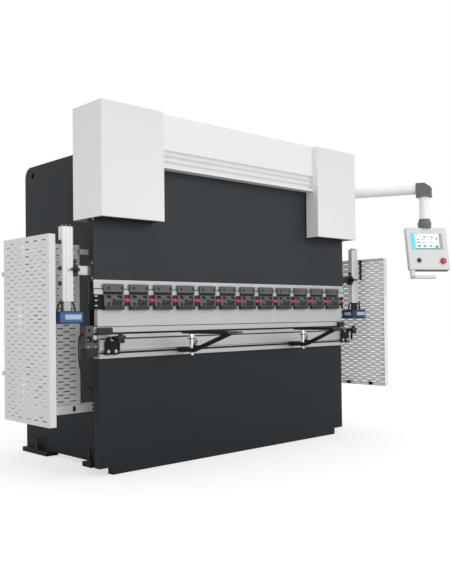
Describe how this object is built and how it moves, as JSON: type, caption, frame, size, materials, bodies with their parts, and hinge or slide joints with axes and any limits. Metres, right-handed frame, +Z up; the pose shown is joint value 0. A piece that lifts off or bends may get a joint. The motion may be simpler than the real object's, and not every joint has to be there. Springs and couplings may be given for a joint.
{
  "type": "press brake",
  "caption": "Hydraulic press brake with a sliding ram, quick-clamped punch, die table, side guards, sheet supports, back gauge and swivelling control pendant.",
  "frame": {"origin": "centre of the table plate's lower edge on the floor, under the bend line", "axes": "+X along the bend line to the operator's right, +Y from the operator into the machine, +Z up"},
  "size_m": [3.4846, 1.9827, 2.36],
  "materials": {
    "anthracite_paint": "fine satin paint",
    "white_paint": "fine textured powder coat",
    "guard_paint": "fine textured powder coat",
    "machined_steel": "milled and ground",
    "tool_steel": "ground tool steel",
    "clamp_steel": "blackened steel",
    "black_paint": "satin black",
    "black_plastic": "moulded",
    "column_aluminium": "clear anodised extrusion",
    "chromed_rod": "hard chrome",
    "grey_casting": "grey paint",
    "red_plastic": "moulded",
    "cable_jacket": "smooth jacket"
  },
  "bodies": {
    "frame": {"left_side_plate": "anthracite_paint", "right_side_plate": "anthracite_paint", "table_plate": "anthracite_paint", "table_top_rail": "machined_steel", "die_holder": "machined_steel", "lower_die": "tool_steel", "left_cylinder": "anthracite_paint", "right_cylinder": "anthracite_paint", "left_cylinder_cover": "white_paint", "right_cylinder_cover": "white_paint", "centre_cover": "white_paint", "oil_tank": "anthracite_paint", "pump_motor": "anthracite_paint", "electrical_cabinet": "white_paint", "left_guard_frame": "guard_paint", "right_guard_frame": "guard_paint", "left_rail_bracket": "black_paint", "right_rail_bracket": "black_paint", "scale_reader": "grey_casting", "reader_cable": "cable_jacket", "left_gauge_rail": "machined_steel", "right_gauge_rail": "machined_steel", "pendant_bracket": "grey_casting"},
    "ram": {"ram_plate": "anthracite_paint", "ram_rail": "machined_steel", "punch": "tool_steel", "clamp_01": "clamp_steel", "clamp_02": "clamp_steel", "clamp_03": "clamp_steel", "clamp_04": "clamp_steel", "clamp_05": "clamp_steel", "clamp_06": "clamp_steel", "clamp_07": "clamp_steel", "clamp_08": "clamp_steel", "clamp_09": "clamp_steel", "clamp_10": "clamp_steel", "clamp_11": "clamp_steel", "clamp_12": "clamp_steel", "left_piston_rod": "chromed_rod", "right_piston_rod": "chromed_rod", "left_column_bracket": "machined_steel", "right_column_bracket": "machined_steel"},
    "left_column": {"left_sensor_column": "column_aluminium"},
    "right_column": {"right_sensor_column": "column_aluminium"},
    "left_door": {"left_guard_door": "guard_paint"},
    "right_door": {"right_guard_door": "guard_paint"},
    "left_carriage": {"left_support_carriage": "black_paint"},
    "right_carriage": {"right_support_carriage": "black_paint"},
    "left_arm": {"left_support_arm": "black_paint"},
    "right_arm": {"right_support_arm": "black_paint"},
    "left_star": {"left_star_knob": "black_plastic"},
    "right_star": {"right_star_knob": "black_plastic"},
    "gauge": {"gauge_beam": "column_aluminium"},
    "screw": {"gauge_screw": "chromed_rod"},
    "left_finger": {"left_gauge_finger": "clamp_steel"},
    "right_finger": {"right_gauge_finger": "clamp_steel"},
    "arm": {"pendant_arm": "white_paint"},
    "box": {"pendant_box": "white_paint"},
    "stop": {"emergency_stop": "red_plastic"},
    "selector": {"selector_switch": "black_plastic"}
  },
  "joints": [
    {"name": "ram_slide", "type": "slide", "parent": "frame", "child": "ram", "axis": [0, 0, 1], "range_m": [0, 0.15]},
    {"name": "left_column_lift", "type": "slide", "parent": "ram", "child": "left_column", "axis": [0, 0, 1], "range_m": [-0.05, 0.1]},
    {"name": "right_column_lift", "type": "slide", "parent": "ram", "child": "right_column", "axis": [0, 0, 1], "range_m": [-0.05, 0.1]},
    {"name": "left_guard_hinge", "type": "hinge", "parent": "frame", "child": "left_door", "pos_m": [-1.668, 0.366, 0.934], "axis": [0, 0, -1], "range_deg": [0, 90]},
    {"name": "right_guard_hinge", "type": "hinge", "parent": "frame", "child": "right_door", "pos_m": [1.668, 0.366, 0.934], "axis": [0, 0, 1], "range_deg": [0, 90]},
    {"name": "left_support_slide", "type": "slide", "parent": "frame", "child": "left_carriage", "axis": [1, 0, 0], "range_m": [-0.35, 0.35]},
    {"name": "left_support_lift", "type": "slide", "parent": "left_carriage", "child": "left_arm", "axis": [0, 0, 1], "range_m": [0, 0.05]},
    {"name": "right_support_slide", "type": "slide", "parent": "frame", "child": "right_carriage", "axis": [1, 0, 0], "range_m": [-0.35, 0.35]},
    {"name": "right_support_lift", "type": "slide", "parent": "right_carriage", "child": "right_arm", "axis": [0, 0, 1], "range_m": [0, 0.05]},
    {"name": "left_star_turn", "type": "hinge", "parent": "frame", "child": "left_star", "pos_m": [-1.1285, -0.1301, 0.8734], "axis": [0, 1, 0], "range_deg": [-180, 180]},
    {"name": "right_star_turn", "type": "hinge", "parent": "frame", "child": "right_star", "pos_m": [1.2415, -0.1301, 0.8734], "axis": [0, 1, 0], "range_deg": [-180, 180]},
    {"name": "gauge_slide", "type": "slide", "parent": "frame", "child": "gauge", "axis": [0, 1, 0], "range_m": [-0.07, 0.35]},
    {"name": "screw_spin", "type": "hinge", "parent": "frame", "child": "screw", "pos_m": [0, 0.4, 0.832], "axis": [0, 1, 0], "range_deg": [-1270, 6310]},
    {"name": "left_finger_slide", "type": "slide", "parent": "gauge", "child": "left_finger", "axis": [1, 0, 0], "range_m": [-0.15, 0.15]},
    {"name": "right_finger_slide", "type": "slide", "parent": "gauge", "child": "right_finger", "axis": [1, 0, 0], "range_m": [-0.15, 0.15]},
    {"name": "pendant_swing", "type": "hinge", "parent": "frame", "child": "arm", "pos_m": [1.347, 0.022, 2.05], "axis": [0, 0, 1], "range_deg": [-30, 60]},
    {"name": "pendant_swivel", "type": "hinge", "parent": "arm", "child": "box", "pos_m": [1.64125, -0.59215, 1.7947], "axis": [0, 0, 1], "range_deg": [-90, 90]},
    {"name": "stop_push", "type": "slide", "parent": "box", "child": "stop", "axis": [0.4908, 0.8501, -0.1908], "range_m": [0, 0.005]},
    {"name": "selector_turn", "type": "hinge", "parent": "box", "child": "selector", "pos_m": [1.52394, -0.61275, 1.44368], "axis": [0.4908, 0.8501, -0.1908], "range_deg": [-45, 45]}
  ],
  "couplings": [
    {"joint": "screw_spin", "follows": "gauge_slide", "rad_per_m": 314.16}
  ]
}
